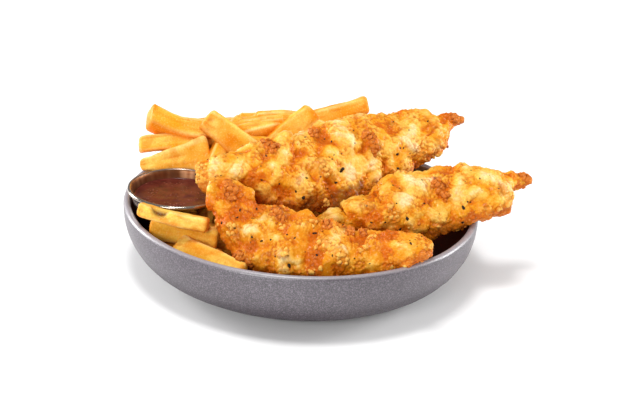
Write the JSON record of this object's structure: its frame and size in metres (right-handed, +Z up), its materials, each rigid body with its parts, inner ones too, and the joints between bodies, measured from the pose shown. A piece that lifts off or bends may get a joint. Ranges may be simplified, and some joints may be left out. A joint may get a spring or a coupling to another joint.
{
  "type": "bowl of chicken tenders",
  "caption": "Shallow stoneware bowl of thick-cut fries with crisp battered chicken tenders laid across it and a small steel pot of brown dip.",
  "frame": {"origin": "centre of the bowl's flat base, on the table", "axes": "+Z up, out of the bowl; +X to the right as pictured, the way the longest tender overhangs; +Y away from the picture's camera"},
  "size_m": [0.24, 0.2096, 0.0856],
  "materials": {
    "stoneware": "satin speckled grey glaze outside, dark maroon-brown glaze inside",
    "steel": "polished stainless steel",
    "sauce": "glossy brown dip",
    "crust": "golden fried batter with pepper specks",
    "potato": "fried potato, slightly glossy"
  },
  "bodies": {
    "root": {"bowl": "stoneware", "dip_pot": "steel", "dip_sauce": "sauce", "tender_back": "crust", "tender_right": "crust", "tender_front": "crust", "fries": "potato"}
  },
  "joints": []
}
